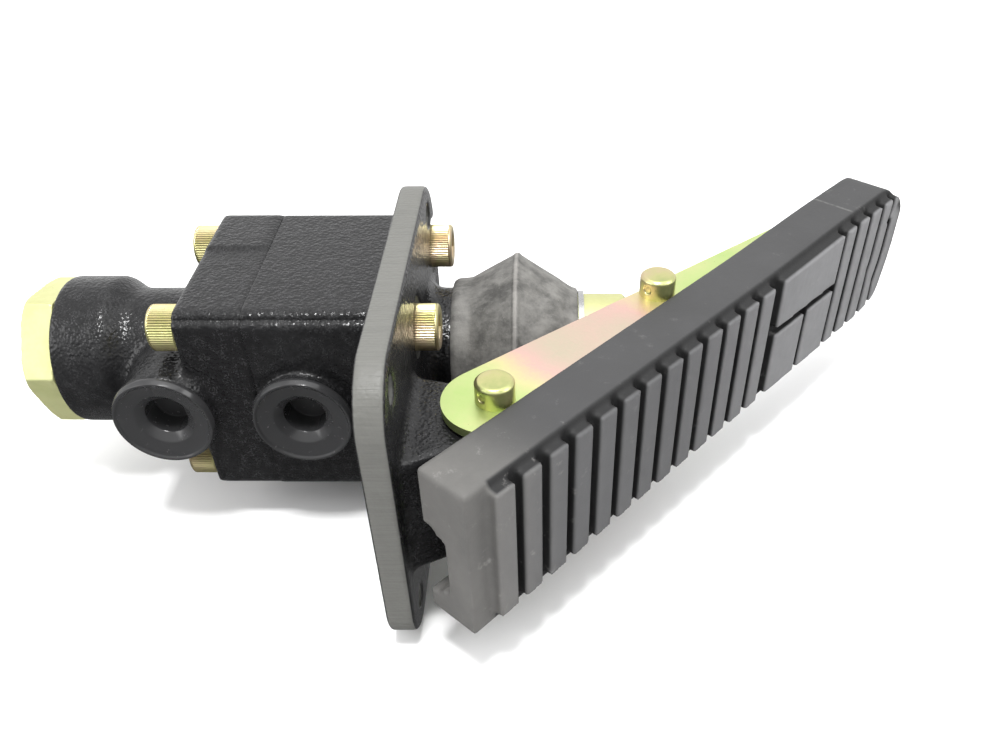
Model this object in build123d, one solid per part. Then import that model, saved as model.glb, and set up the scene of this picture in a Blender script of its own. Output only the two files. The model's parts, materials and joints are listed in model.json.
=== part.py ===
"""Foot brake valve: a spool valve in two bolted castings, with a hinged treadle pedal.

Frame: +X along the valve's axis towards the pedal, +Z along the hinge pin, -Y to the ports.
The origin is on the valve's axis, on the face of the pedal base that lies on the vehicle's floor.
All sizes are in millimetres and degrees.
"""
import os
from math import cos, radians, sin, sqrt

from build123d import *

# Small sizes used all over: broken edges, and the gap of a pressed or located part
edge_break = 0.6
snug_gap = 0.02

# Pedal base: floor plate, neck and hinge lug in one casting
plate_thickness = 9.5
plate_height = 113.0
plate_near = 101.5
plate_far = 36.0
plate_corner_radius = 20.0
mount_hole_radius = 4.3
mount_edge_y = 16.25
mount_edge_z = 11.5
neck_radius = 23.0
neck_length = 17.5
neck_root_radius = 4.0
lug_half_height = 23.0
lug_far_y = -48.0
lug_near_y = -94.4
lug_barrel_radius = 11.0
lug_edge_radius = 2.0

# Castings of the valve
block_size = 77.0
block_corner_radius = 6.0
housing_length = 48.5
flange_length = 23.5
flange_edge_radius = 1.5
flange_inset = 0.2
flange_ridge_height = 0.6
flange_ridge_y = 7.5
body_neck_radius = 23.2
body_neck_length = 27.0
body_root_radius = 3.0
shoulder_length = 8.0
shoulder_rounding = 1.6
boss_radius = 27.7
boss_length = 18.5
boss_chamfer = 0.8
screw_spacing = 56.5

# Ports and their plugs
port_bore_radius = 8.75
port_bore_depth = 17.0
port_passage_radius = 5.5
port_seat_depth = 2.0
port_boss_radius = 17.4
port_boss_rise = 4.5
pressure_port_x = -81.0
brake_port_x = -32.0
tank_port_x = -20.0
housing_boss_radius = 16.4
plug_rim_radius = 17.0
plug_flange_radius = 17.8
plug_flange_thickness = 3.0
plug_dish_radius = 15.6
plug_dish_depth = 0.7
plug_mouth_radius = 9.4
plug_mouth_depth = 2.1
plug_bore_radius = 7.2
plug_core_depth = 12.0
plug_floor = 1.6
plug_core_clearance = 0.1

# Socket head cap screws, M10
screw_radius = 5.0
screw_clearance = 0.5
screw_head_radius = 8.0
screw_head_height = 10.0
screw_head_chamfer = 0.8
screw_socket_flats = 8.0
screw_socket_depth = 5.0
screw_spotface_radius = 10.5
body_spotface_depth = 0.3
plate_spotface_depth = 2.7
plate_screw_engagement = 23.2
screw_end_gap = 3.5

# Spool, end plug and seals
spool_radius = 8.0
spool_land_length = 40.0
spool_end_land_length = 4.0
spool_waist_radius = 5.6
spool_end_gap = 9.5
spool_ring_depth = 0.5
spool_ring_width = 1.0
spool_ring_margin = 8.0
spool_ring_pitch = 7.0
spool_ring_count = 3
spool_chamfer = 0.5
spool_chamber_gap = 1.0
annulus_radius = 11.0
annulus_half_width = 4.0
running_clearance = 0.05
end_plug_flats = 48.0
end_plug_turn = 10.0
end_plug_head = 11.5
end_plug_chamfer = 1.6
end_plug_thread_radius = 16.5
end_plug_thread_length = 13.0
end_plug_thread_relief = 2.0
end_plug_groove_depth = 1.6
end_plug_groove_width = 2.8
end_plug_bore_radius = 9.6
end_plug_bore_depth = 17.0
end_seal_wire = 1.3
end_seal_radius = 17.6
end_seal_depth = 3.5
spring_chamber_radius = 17.0
spring_chamber_length = 24.0
seal_wire = 1.3
block_seal_radius = 21.5

# Plunger, its guide and its boot
plunger_radius = 15.0
plunger_inner_x = -1.5
plunger_cup_radius = 12.1
plunger_cup_depth = 23.5
plunger_cap_radius = 20.5
plunger_cap_length = 21.0
plunger_cap_edge = 1.5
bush_wall = 2.5
bush_length = 18.0
bush_inset = 2.0
wiper_wall = 3.6
wiper_length = 5.0
snap_ring_x = 0.4
snap_ring_inner = 14.0
snap_ring_outer = 16.6
snap_ring_thickness = 1.2
snap_ring_gap = 5.0
boot_wall = 2.2
boot_lip_x = 18.5
boot_lip_length = 7.0
boot_shoulder_x = 29.0
boot_ridge_x = 41.5
boot_ridge_width = 1.2
boot_end_x = 64.5
boot_end_length = 2.4
boot_lip_radius = 26.4
boot_shoulder_radius = 28.8
boot_ridge_radius = 35.4
boot_end_radius = 22.6
boot_gap = 0.3
boot_bevel = 1.5
boot_ring_radius = 21.6
boot_ring_width = 2.0

# Pedal: bracket, pins, roller and rubber pad
hinge_x = 37.2
hinge_y = -67.2
pedal_angle = 48.2
pin_radius = 6.35
pin_overhang = 7.5
pin_chamfer = 1.0
roll_pin_radius = 1.5
roll_pin_inset = 0.4
roll_pin_wall = 0.65
roll_pin_slot = 0.5
hinge_bush_wall = 2.0
hinge_bush_length = 18.4
hinge_bush_flange = 1.2
hinge_bush_flange_radius = 10.0
side_gap = 0.3
sheet = 3.0
bracket_end_radius = 17.0
bracket_length = 206.0
bracket_toe_height = 6.0
bracket_corner_radius = 5.0
bracket_tongue = 27.0
bracket_base_back = 15.9
roller_distance = 83.3
roller_radius = 9.5
roller_width = 22.0
spacer_wall = 2.0
contact_gap = 0.3
pad_clearance = 0.7
heel_wall = 11.3
toe_wall = 24.3
pad_toe_radius = 15.0
pad_toe_corner = 26.0
pad_back_corner = 3.0
pad_side_wall = 1.8
pad_back = 6.5
pad_tread = 26.2
pad_edge_radius = 1.5
heel_notch_depth = 6.0
heel_notch_radius = 4.0
heel_notch_top = 7.5
heel_notch_bottom = -22.0
rib_height = 4.2
rib_top = 26.8
rib_bottom = -24.8
rib_width = 8.0
rib_pitch = 11.52
rib_heel_margin = 8.3
block_groove = 3.3
block_group_to_toe = 109.34
block_group_length = 44.0
block_split = 0.52
block_level = 4.6
toe_rib_pitch = 10.4
toe_rib_count = 4
rib_toe_corner = 23.0

# Springs
return_wire = 1.4
return_coil_radius = 6.4
return_turns = 4.0
outer_wire = 2.8
outer_coil_radius = 10.2
outer_turns = 5.0
inner_wire = 1.8
inner_coil_radius = 6.2
inner_turns = 6.0
seat_flange_radius = 12.5
seat_flange_thickness = 3.0
seat_spigot_length = 4.0
seat_spigot_gap = 0.4

# Sizes worked out from the ones above
half_block = block_size / 2
half_screws = screw_spacing / 2
flange_x = -housing_length - flange_length
body_neck_x = flange_x - body_neck_length
shoulder_x = body_neck_x - shoulder_length
boss_x = shoulder_x - boss_length
plate_screw_length = plate_thickness - plate_spotface_depth + plate_screw_engagement
body_screw_length = (flange_length - body_spotface_depth + housing_length - plate_screw_engagement
                     - screw_end_gap)
port_rise_y = half_block + port_boss_rise
neck_end_x = plate_thickness + neck_length
spool_bore_radius = spool_radius + running_clearance
spool_left_x = boss_x + spool_end_gap
spool_right_x = -spring_chamber_length + spool_chamber_gap + spool_end_land_length
seat_right_x = spool_right_x + seat_flange_thickness
plunger_bore_radius = plunger_radius + running_clearance
bush_outer_radius = plunger_bore_radius + bush_wall
cup_end_x = plunger_inner_x + plunger_cup_depth
end_plug_groove_radius = end_plug_thread_radius - end_plug_groove_depth
plug_bore_end_x = boss_x + end_plug_thread_length - end_plug_bore_depth
bracket_inner = lug_half_height + hinge_bush_flange + side_gap
bracket_outer = bracket_inner + sheet
pad_half_width = bracket_outer + pad_side_wall
pad_heel = bracket_tongue + pad_clearance + heel_wall
pad_toe = bracket_length + pad_clearance + toe_wall
rib_start = -pad_heel + rib_heel_margin
block_group_start = pad_toe - block_group_to_toe
rib_count = int((block_group_start - rib_start) / rib_pitch)
pin_half_length = bracket_outer + pin_overhang
roll_pin_levels = (-bracket_outer - pin_overhang / 2, bracket_outer + pin_overhang / 2)
roller_x = hinge_x + roller_distance * cos(radians(pedal_angle))
plunger_face_x = roller_x - roller_radius - contact_gap
plunger_cap_x = plunger_face_x - plunger_cap_length
screw_places = [(y, z) for y in (-half_screws, half_screws) for z in (-half_screws, half_screws)]
mount_places = [(y, z) for y in (mount_edge_y - plate_near, plate_far - mount_edge_y)
                for z in (mount_edge_z - plate_height / 2, plate_height / 2 - mount_edge_z)]
pedal_plane = Plane(
    origin=(hinge_x, hinge_y, 0),
    x_dir=(cos(radians(pedal_angle)), sin(radians(pedal_angle)), 0),
    z_dir=(0, 0, 1),
)


def rod_x(radius, x0, x1, y=0.0, z=0.0):
    """A round bar along X."""
    return Pos((x0 + x1) / 2, y, z) * Rot(0, 90, 0) * Cylinder(radius, abs(x1 - x0))


def rod_y(radius, y0, y1, x=0.0, z=0.0):
    """A round bar along Y."""
    return Pos(x, (y0 + y1) / 2, z) * Rot(90, 0, 0) * Cylinder(radius, abs(y1 - y0))


def rod_z(radius, z0, z1, x=0.0, y=0.0):
    """A round bar along Z."""
    return Pos(x, y, (z0 + z1) / 2) * Cylinder(radius, abs(z1 - z0))


def ring_x(inner, outer, x0, x1):
    """A round sleeve along the valve's axis."""
    return rod_x(outer, x0, x1) - rod_x(inner, x0 - 1, x1 + 1)


def turned(points):
    """A solid turned about the valve's axis from its half section, as (x, radius) points."""
    return revolve(make_face(Polyline(*points, close=True)), Axis.X)


def o_ring(radius, x, wire):
    """A round-section seal about the valve's axis."""
    return Pos(x, 0, 0) * Rot(0, 90, 0) * Torus(radius, wire)


def coil_x(x0, x1, coil_radius, wire, turns):
    """A compression spring about the valve's axis, whose wire fits between x0 and x1."""
    length = x1 - x0 - wire
    path = Helix(pitch=length / turns, height=length, radius=coil_radius)
    spring = sweep(Plane(origin=path @ 0, z_dir=path % 0) * Circle(wire / 2), path=path)
    return Pos(x0 + wire / 2, 0, 0) * Rot(0, 90, 0) * spring


def square_block(x0, x1, size):
    """A square casting with rounded long edges."""
    block = Pos((x0 + x1) / 2, 0, 0) * Box(abs(x1 - x0), size, size)
    return fillet(block.edges().filter_by(Axis.X), block_corner_radius)


def face_seal_groove(x, side):
    """The groove for a seal between two castings; side is 1 where it is cut towards +X."""
    deep = x + side * 2 * seal_wire
    return ring_x(block_seal_radius - seal_wire, block_seal_radius + seal_wire, min(x, deep), max(x, deep))


def port_cut(x, side):
    """The bore, seat and passage of a port; side is -1 on the near face and 1 on the far one."""
    face = side * port_rise_y
    bore_end = face - side * port_bore_depth
    seat = Pos(x, face - side * port_seat_depth / 2, 0) * Rot(-90 * side, 0, 0)
    seat = seat * Cone(port_bore_radius, port_bore_radius + port_seat_depth, port_seat_depth)
    bore = rod_y(port_bore_radius, bore_end, face, x)
    return bore + rod_y(port_passage_radius, 0, bore_end, x) + seat


def make_valve_body():
    """The left casting: flange, neck and end boss round the spool's bore."""
    flange = square_block(flange_x, -housing_length, block_size - 2 * flange_inset)
    flange = fillet(flange.faces().sort_by(Axis.X)[0].edges(), flange_edge_radius)
    root = body_root_radius
    stem = turned([
        (-housing_length - 1, 0), (-housing_length - 1, body_neck_radius + root),
        (flange_x, body_neck_radius + root), (flange_x - root * 0.3, body_neck_radius + root * 0.3),
        (flange_x - root, body_neck_radius), (body_neck_x, body_neck_radius),
        (body_neck_x - shoulder_length * 0.3, body_neck_radius + shoulder_rounding / 2),
        (shoulder_x + shoulder_rounding, boss_radius - shoulder_rounding / 2), (shoulder_x, boss_radius),
        (boss_x + boss_chamfer, boss_radius),
        (boss_x, boss_radius - boss_chamfer), (boss_x, 0),
    ])
    port = rod_y(port_boss_radius, 0, -port_rise_y, pressure_port_x)
    port = fillet(port.faces().sort_by(Axis.Y)[0].edges(), flange_edge_radius)
    ridge_end = half_block - block_corner_radius
    ridge = Pos((flange_x - housing_length) / 2, (flange_ridge_y + ridge_end) / 2, half_block - flange_inset)
    ridge = ridge * Box(flange_length - 2 * flange_edge_radius, ridge_end - flange_ridge_y, 2 * flange_ridge_height)
    body = flange + stem + port + ridge
    for y, z in screw_places:
        body -= rod_x(screw_radius + screw_clearance, flange_x - 1, -housing_length + 1, y, z)
        body -= rod_x(screw_spotface_radius, body_neck_x, flange_x + body_spotface_depth, y, z)
    body -= rod_x(spool_bore_radius, boss_x - 1, -housing_length + 1)
    body -= rod_x(end_plug_thread_radius, boss_x - 1, boss_x + end_plug_thread_length + end_plug_thread_relief)
    body -= rod_x(end_seal_radius, boss_x - 1, boss_x + end_seal_depth)
    body -= rod_x(annulus_radius, pressure_port_x - annulus_half_width, pressure_port_x + annulus_half_width)
    body -= port_cut(pressure_port_x, -1)
    return body - face_seal_groove(-housing_length, -1)


def make_actuator_housing():
    """The right casting: a square block with the spool's bore and the spring chamber."""
    block = square_block(-housing_length, 0, block_size)
    for x, side in ((brake_port_x, -1), (tank_port_x, 1)):
        boss = rod_y(housing_boss_radius, side * (half_block - 1), side * port_rise_y, x)
        block += boss
    block -= rod_x(spool_bore_radius, -housing_length - 1, 0)
    block -= rod_x(spring_chamber_radius, -spring_chamber_length, 1)
    block -= rod_x(annulus_radius, brake_port_x - annulus_half_width, brake_port_x + annulus_half_width)
    for y, z in screw_places:
        block -= rod_x(screw_radius + running_clearance, -housing_length - 1, 1, y, z)
    block -= port_cut(brake_port_x, -1)
    block -= port_cut(tank_port_x, 1)
    return block - face_seal_groove(0, -1)


def make_pedal_base():
    """The floor plate with the plunger's neck and the pedal's hinge lug."""
    width = plate_near + plate_far
    outline = Pos((plate_far - plate_near) / 2, 0) * RectangleRounded(width, plate_height, plate_corner_radius)
    base = extrude(Plane.YZ * outline, plate_thickness)
    root = neck_root_radius
    base += turned([
        (plate_thickness - 1, 0), (plate_thickness - 1, neck_radius + root),
        (plate_thickness, neck_radius + root), (plate_thickness + root * 0.3, neck_radius + root * 0.3),
        (plate_thickness + root, neck_radius), (neck_end_x - 1, neck_radius), (neck_end_x, neck_radius - 1),
        (neck_end_x, 0),
    ])
    foot = Pos(plate_thickness / 2, (lug_near_y + lug_far_y) / 2)
    foot = foot * Rectangle(plate_thickness - 1, lug_far_y - lug_near_y)
    barrel = Pos(hinge_x, hinge_y) * Circle(lug_barrel_radius)
    web = make_hull(foot.edges() + barrel.edges())
    lug = extrude(web, lug_half_height, both=True)
    lug = fillet(lug.faces().filter_by(Axis.Z).edges(), lug_edge_radius)
    base += lug
    for y, z in screw_places:
        base -= rod_x(screw_radius + screw_clearance, -1, plate_thickness + 1, y, z)
        base -= rod_x(screw_spotface_radius, plate_thickness - plate_spotface_depth, neck_end_x, y, z)
    for y, z in mount_places:
        base -= rod_x(mount_hole_radius, -1, plate_thickness + 1, y, z)
    base -= rod_x(bush_outer_radius, -1, neck_end_x + 1)
    base -= rod_x(plunger_bore_radius + wiper_wall, neck_end_x - wiper_length, neck_end_x + 1)
    bush_bore = pin_radius + running_clearance + hinge_bush_wall
    return base - rod_z(bush_bore, -lug_half_height - 1, lug_half_height + 1, hinge_x, hinge_y)


def make_end_plug():
    """The hexagon plug that closes the spool's bore and holds its return spring."""
    hexagon = Rot(0, 0, end_plug_turn) * RegularPolygon(end_plug_flats / 2, 6, major_radius=False)
    head = extrude(Plane(origin=(boss_x, 0, 0), x_dir=(0, 1, 0), z_dir=(-1, 0, 0)) * hexagon, end_plug_head)
    corner = end_plug_flats / sqrt(3)
    outer_x = boss_x - end_plug_head
    head &= turned([
        (boss_x, 0), (boss_x, corner - end_plug_chamfer / 4), (boss_x - end_plug_chamfer / 2, corner),
        (outer_x + end_plug_chamfer, corner), (outer_x, corner - 1.7 * end_plug_chamfer), (outer_x, 0),
    ])
    thread = rod_x(end_plug_thread_radius - running_clearance, boss_x, boss_x + end_plug_thread_length)
    neck = ring_x(end_plug_groove_radius, end_plug_thread_radius + 1,
                  boss_x + edge_break, boss_x + edge_break + end_plug_groove_width)
    bore_mouth = boss_x + end_plug_thread_length
    return head + thread - neck - rod_x(end_plug_bore_radius, plug_bore_end_x, bore_mouth + 1)


def make_end_seal():
    """The seal under the end plug's head."""
    return o_ring(end_plug_groove_radius + end_seal_wire, boss_x + edge_break + end_plug_groove_width / 2,
                  end_seal_wire)


def make_spool():
    """The spool: a long land, a waist and an end land, with pressure-balancing grooves."""
    land_end = spool_left_x + spool_land_length
    end_land_x = spool_right_x - spool_end_land_length
    spool = turned([
        (spool_left_x, 0), (spool_left_x, spool_radius - spool_chamfer),
        (spool_left_x + spool_chamfer, spool_radius),
        (land_end, spool_radius), (land_end + edge_break, spool_waist_radius),
        (end_land_x - edge_break, spool_waist_radius),
        (end_land_x, spool_radius), (spool_right_x - spool_chamfer, spool_radius),
        (spool_right_x, spool_radius - spool_chamfer), (spool_right_x, 0),
    ])
    for i in range(spool_ring_count):
        x = land_end - spool_ring_margin - spool_ring_pitch * i
        spool -= ring_x(spool_radius - spool_ring_depth, spool_radius + 1, x, x + spool_ring_width)
    return spool


def make_spring_seat():
    """The seat on the spool's end, with a spigot that centres the inner spring."""
    spigot = inner_coil_radius - inner_wire / 2 - seat_spigot_gap
    spigot_x = seat_right_x + seat_spigot_length
    return turned([
        (spool_right_x, 0), (spool_right_x, seat_flange_radius), (seat_right_x, seat_flange_radius),
        (seat_right_x, spigot), (spigot_x - edge_break, spigot), (spigot_x, spigot - edge_break),
        (spigot_x, 0),
    ])


def make_plunger():
    """The plunger: a cupped stem that carries the springs, and the cap that the roller pushes."""
    edge = plunger_cap_edge
    plunger = turned([
        (plunger_inner_x, plunger_cup_radius), (plunger_inner_x, plunger_radius - edge_break),
        (plunger_inner_x + edge_break, plunger_radius), (plunger_cap_x, plunger_radius),
        (plunger_cap_x, plunger_cap_radius - edge_break), (plunger_cap_x + edge_break, plunger_cap_radius),
        (plunger_face_x - edge, plunger_cap_radius), (plunger_face_x - edge * 0.3, plunger_cap_radius - edge * 0.3),
        (plunger_face_x, plunger_cap_radius - edge), (plunger_face_x, 0), (cup_end_x, 0),
        (cup_end_x, plunger_cup_radius),
    ])
    return plunger - ring_x(snap_ring_inner, plunger_radius + 1, snap_ring_x, snap_ring_x + snap_ring_thickness)


def make_snap_ring():
    """The split ring on the plunger's inner end, which stops it against the bush."""
    ring = ring_x(snap_ring_inner, snap_ring_outer, snap_ring_x, snap_ring_x + snap_ring_thickness)
    return ring - Pos(snap_ring_x, 0, snap_ring_outer) * Box(4 * snap_ring_thickness, snap_ring_gap, snap_ring_outer)


def make_boot():
    """The bellows boot, one convolution high, from the neck's lip to the plunger's cap."""
    wall = boot_wall
    lip_end = boot_lip_x + boot_lip_length
    end_start = boot_end_x - boot_end_length
    ridge_end = boot_ridge_x + boot_ridge_width
    inside = plunger_cap_radius + boot_gap
    return turned([
        (boot_lip_x, neck_radius), (boot_lip_x, boot_lip_radius - boot_bevel), (boot_lip_x + boot_bevel, boot_lip_radius),
        (boot_shoulder_x, boot_shoulder_radius), (boot_ridge_x, boot_ridge_radius),
        (ridge_end, boot_ridge_radius), (boot_end_x - edge_break, boot_end_radius), (boot_end_x, boot_end_radius - edge_break),
        (boot_end_x, inside), (end_start, inside), (ridge_end, boot_ridge_radius - wall * 1.15),
        (boot_ridge_x, boot_ridge_radius - wall * 1.15), (boot_shoulder_x, boot_shoulder_radius - wall * 1.1),
        (lip_end + boot_bevel, boot_lip_radius - wall * 0.4), (lip_end, neck_radius),
    ])


def make_port_plug(x, side):
    """A push-in port plug: a dished flange with a hollow core; side is -1 or 1 along Y."""
    flange = plug_flange_thickness
    core = port_bore_radius - plug_core_clearance
    outline = Polyline(
        (plug_bore_radius, plug_floor - plug_core_depth),
        (plug_bore_radius, flange - 2 * plug_mouth_depth), (plug_mouth_radius, flange - plug_mouth_depth),
        (plug_dish_radius, flange - plug_dish_depth), (plug_dish_radius + plug_dish_depth, flange),
        (plug_rim_radius, flange), (plug_flange_radius, flange * 0.4), (plug_flange_radius, 0),
        (core + port_seat_depth, 0),
        (core, -port_seat_depth), (core, edge_break - plug_core_depth), (core - edge_break, -plug_core_depth),
        (0, -plug_core_depth), (0, -plug_core_depth + plug_floor), close=True)
    plug = revolve(Plane.XZ * make_face(outline), Axis.Z)
    return Pos(x, side * port_rise_y, 0) * Rot(-90 * side, 0, 0) * plug


def make_screws(face_x, away, length):
    """Four socket head cap screws whose heads stand on face_x; away is the way the heads point."""
    screws = []
    for y, z in screw_places:
        head = Cylinder(screw_head_radius, screw_head_height)
        head = chamfer(head.faces().sort_by(Axis.Z)[-1].edges(), screw_head_chamfer)
        head = Pos(0, 0, screw_head_height / 2) * head
        socket = extrude(RegularPolygon(screw_socket_flats / 2, 6, major_radius=False), screw_socket_depth)
        head -= Pos(0, 0, screw_head_height - screw_socket_depth) * socket
        shank = Pos(0, 0, -length / 2) * Cylinder(screw_radius, length)
        screws.append(Pos(face_x, y, z) * Rot(0, 90 * away, 0) * (head + shank))
    return Compound(screws)


def make_bracket():
    """The folded steel bracket: two side plates joined by a base that ends in a tongue."""
    base_front = -bracket_base_back - sheet
    end = Circle(bracket_end_radius)
    toe = Pos(bracket_length / 2, base_front + sheet / 2) * Rectangle(bracket_length, sheet)
    tip = Pos(bracket_length - sheet / 2, base_front + bracket_toe_height / 2) * Rectangle(sheet, bracket_toe_height)
    outline = make_hull(end.edges() + toe.edges() + tip.edges())
    side = extrude(outline, sheet)
    base_length = bracket_length + bracket_tongue
    base = Pos(base_length / 2 - bracket_tongue, base_front + sheet / 2, 0) * Box(base_length, sheet, 2 * bracket_outer)
    base = fillet(base.edges().filter_by(Axis.Y), bracket_corner_radius)
    bracket = base + Pos(0, 0, bracket_inner) * side + Pos(0, 0, -bracket_outer) * side
    for u in (0, roller_distance):
        bracket -= rod_z(pin_radius + snug_gap, -bracket_outer - 1, bracket_outer + 1, u)
    return pedal_plane.location * bracket


def pad_outline(extra):
    """The pad's outline seen along the hinge pin; extra grows its tread and its toe."""
    radius = pad_toe_radius + extra
    heel, toe = -pad_heel, pad_toe + extra
    back, tread = -pad_back, -pad_tread - extra
    turn = sqrt(0.5)
    line = Polyline((toe, tread + radius), (toe, back - pad_back_corner), (toe - pad_back_corner, back),
                    (heel, back), (heel, tread), (toe - radius, tread))
    arc = ThreePointArc((toe - radius, tread), (toe - radius + radius * turn, tread + radius - radius * turn),
                        (toe, tread + radius))
    return make_face([line, arc])


def pad_plan(low, high, toe, corner):
    """A slab with the pad's outline seen on its tread: two rounded corners at the toe."""
    outline = Pos((toe - pad_heel) / 2, (low + high) / 2) * Rectangle(toe + pad_heel, high - low)
    outline = fillet(outline.vertices().group_by(Axis.X)[-1], corner)
    return extrude(Plane.XZ * outline, 2 * pad_tread, both=True)


def tread_blocks():
    """The raised ribs and blocks of the tread, as boxes that reach through the tread's layer."""
    tread = -pad_tread
    blocks = []

    def block(u0, u1, z0, z1):
        blocks.append(Pos((u0 + u1) / 2, tread, (z0 + z1) / 2) * Box(u1 - u0, 4 * rib_height, z1 - z0))

    for i in range(rib_count):
        u = rib_start + i * rib_pitch
        block(u, u + rib_width, rib_bottom, rib_top)
    group_end = block_group_start + block_group_length
    split = block_group_start + block_group_length * block_split
    half_groove = block_groove / 2
    block(block_group_start, group_end, block_level + half_groove, rib_top)
    block(block_group_start, split - half_groove, rib_bottom, block_level - half_groove)
    block(split + half_groove, group_end, rib_bottom, block_level - half_groove)
    u = group_end + block_groove
    for i in range(toe_rib_count):
        block(u, u + toe_rib_pitch - block_groove, rib_bottom, rib_top)
        u += toe_rib_pitch
    toe = pad_toe + 2 * rib_height
    blocks.append(Pos((u + toe) / 2, -pad_back - pad_tread, 0) * Box(toe - u, 2 * pad_tread, 4 * rib_top))
    return blocks


def make_pad():
    """The rubber pad: a tray that grips the bracket, with a ribbed tread and a round toe."""
    body = extrude(pad_outline(0), pad_half_width, both=True)
    body = fillet(body.faces().filter_by(Axis.Z).edges(), pad_edge_radius)
    pad = body & pad_plan(-pad_half_width, pad_half_width, pad_toe, pad_toe_corner)
    layer = extrude(pad_outline(rib_height), pad_half_width, both=True)
    layer &= pad_plan(rib_bottom, rib_top, pad_toe + rib_height, rib_toe_corner)
    for block in tread_blocks():
        pad += layer & block
    pocket_start = heel_wall - pad_heel
    pocket_end = pad_toe - toe_wall
    floor = -bracket_base_back - sheet
    depth = -pad_back + 1 - floor
    pad -= Pos((pocket_start + pocket_end) / 2, floor + depth / 2, 0) * Box(
        pocket_end - pocket_start, depth, 2 * bracket_outer)
    notch_height = heel_notch_top - heel_notch_bottom
    notch = Box(heel_wall + 2, 2 * heel_notch_depth, notch_height)
    notch = fillet(notch.edges().filter_by(Axis.X), heel_notch_radius)
    pad -= Pos(pocket_start - heel_wall / 2, -pad_back, (heel_notch_top + heel_notch_bottom) / 2) * notch
    return pedal_plane.location * pad


def make_pin(u):
    """A plain pin through both side plates, drilled across each end for a roll pin."""
    pin = rod_z(pin_radius, -pin_half_length, pin_half_length)
    pin = chamfer(pin.edges(), pin_chamfer)
    for z in roll_pin_levels:
        pin -= Pos(0, 0, z) * Rot(0, 90, 0) * Cylinder(roll_pin_radius, 4 * pin_radius)
    return pedal_plane.location * Pos(u, 0, 0) * pin


def make_roll_pins(u):
    """The split pins that lock a pin's two ends."""
    length = 2 * (pin_radius - roll_pin_inset)
    pins = []
    for z in roll_pin_levels:
        tube = Cylinder(roll_pin_radius - snug_gap, length) - Cylinder(roll_pin_radius - roll_pin_wall, length + 1)
        tube -= Pos(0, roll_pin_radius, 0) * Box(roll_pin_slot, 2 * roll_pin_radius, length + 1)
        pins.append(pedal_plane.location * Pos(u, 0, z) * Rot(0, 90, 0) * tube)
    return Compound(pins)


def make_hinge_bushes():
    """Two flanged bushes, pressed into the lug from its ends."""
    bore = pin_radius + running_clearance
    length = hinge_bush_length
    bushes = []
    for side in (-1, 1):
        start, end = side * (lug_half_height - length), side * lug_half_height
        bush = rod_z(bore + hinge_bush_wall, start, end)
        bush += rod_z(hinge_bush_flange_radius, end, end + side * hinge_bush_flange)
        bush -= rod_z(bore, start - side, end + side * (hinge_bush_flange + 1))
        bushes.append(Pos(hinge_x, hinge_y, 0) * bush)
    return Compound(bushes)


def make_roller():
    """The hardened roller that turns on the second pin and pushes the plunger."""
    roller = rod_z(roller_radius, -roller_width / 2, roller_width / 2)
    roller = chamfer(roller.edges(), edge_break)
    roller -= rod_z(pin_radius + running_clearance, -roller_width, roller_width)
    return pedal_plane.location * Pos(roller_distance, 0, 0) * roller


def make_spacers():
    """The two tubes that keep the roller in the middle of its pin."""
    inner = pin_radius + snug_gap
    tubes = []
    for side in (-1, 1):
        start, end = side * (roller_width / 2 + side_gap), side * (bracket_inner - snug_gap)
        tube = rod_z(inner + spacer_wall, start, end) - rod_z(inner, start - side, end + side)
        tubes.append(pedal_plane.location * Pos(roller_distance, 0, 0) * tube)
    return Compound(tubes)


parts = {
    "valve_body": make_valve_body(),
    "actuator_housing": make_actuator_housing(),
    "pedal_base": make_pedal_base(),
    "end_plug": make_end_plug(),
    "end_plug_seal": make_end_seal(),
    "body_seal": o_ring(block_seal_radius, -housing_length - seal_wire, seal_wire),
    "base_seal": o_ring(block_seal_radius, -seal_wire, seal_wire),
    "body_screws": make_screws(flange_x + body_spotface_depth, -1, body_screw_length),
    "plate_screws": make_screws(plate_thickness - plate_spotface_depth, 1, plate_screw_length),
    "pressure_port_plug": make_port_plug(pressure_port_x, -1),
    "brake_port_plug": make_port_plug(brake_port_x, -1),
    "tank_port_plug": make_port_plug(tank_port_x, 1),
    "spool": make_spool(),
    "spool_return_spring": coil_x(plug_bore_end_x, spool_left_x, return_coil_radius, return_wire, return_turns),
    "spring_seat": make_spring_seat(),
    "outer_regulating_spring": coil_x(seat_right_x, cup_end_x, outer_coil_radius, outer_wire, outer_turns),
    "inner_regulating_spring": coil_x(seat_right_x, cup_end_x, inner_coil_radius, inner_wire, inner_turns),
    "plunger": make_plunger(),
    "plunger_snap_ring": make_snap_ring(),
    "plunger_bush": ring_x(plunger_bore_radius, bush_outer_radius, bush_inset, bush_inset + bush_length),
    "wiper_seal": ring_x(plunger_bore_radius, plunger_bore_radius + wiper_wall, neck_end_x - wiper_length,
                         neck_end_x - 0.3),
    "plunger_boot": make_boot(),
    "boot_ring": ring_x(plunger_cap_radius, boot_ring_radius, boot_end_x + boot_gap,
                        boot_end_x + boot_gap + boot_ring_width),
    "hinge_bushes": make_hinge_bushes(),
    "hinge_pin": make_pin(0),
    "hinge_roll_pins": make_roll_pins(0),
    "pedal_bracket": make_bracket(),
    "pedal_pad": make_pad(),
    "roller": make_roller(),
    "roller_pin": make_pin(roller_distance),
    "roller_roll_pins": make_roll_pins(roller_distance),
    "roller_spacers": make_spacers(),
}

os.makedirs("parts", exist_ok=True)
for name, solid in parts.items():
    export_step(solid, f"parts/{name}.step")
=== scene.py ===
"""The looks of a foot brake valve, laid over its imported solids, in metres."""
import json
import math

import bmesh
import bpy
import numpy as np
from bpy.props import FloatProperty, FloatVectorProperty, IntProperty, PointerProperty
from mathutils import Matrix, Vector


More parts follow.
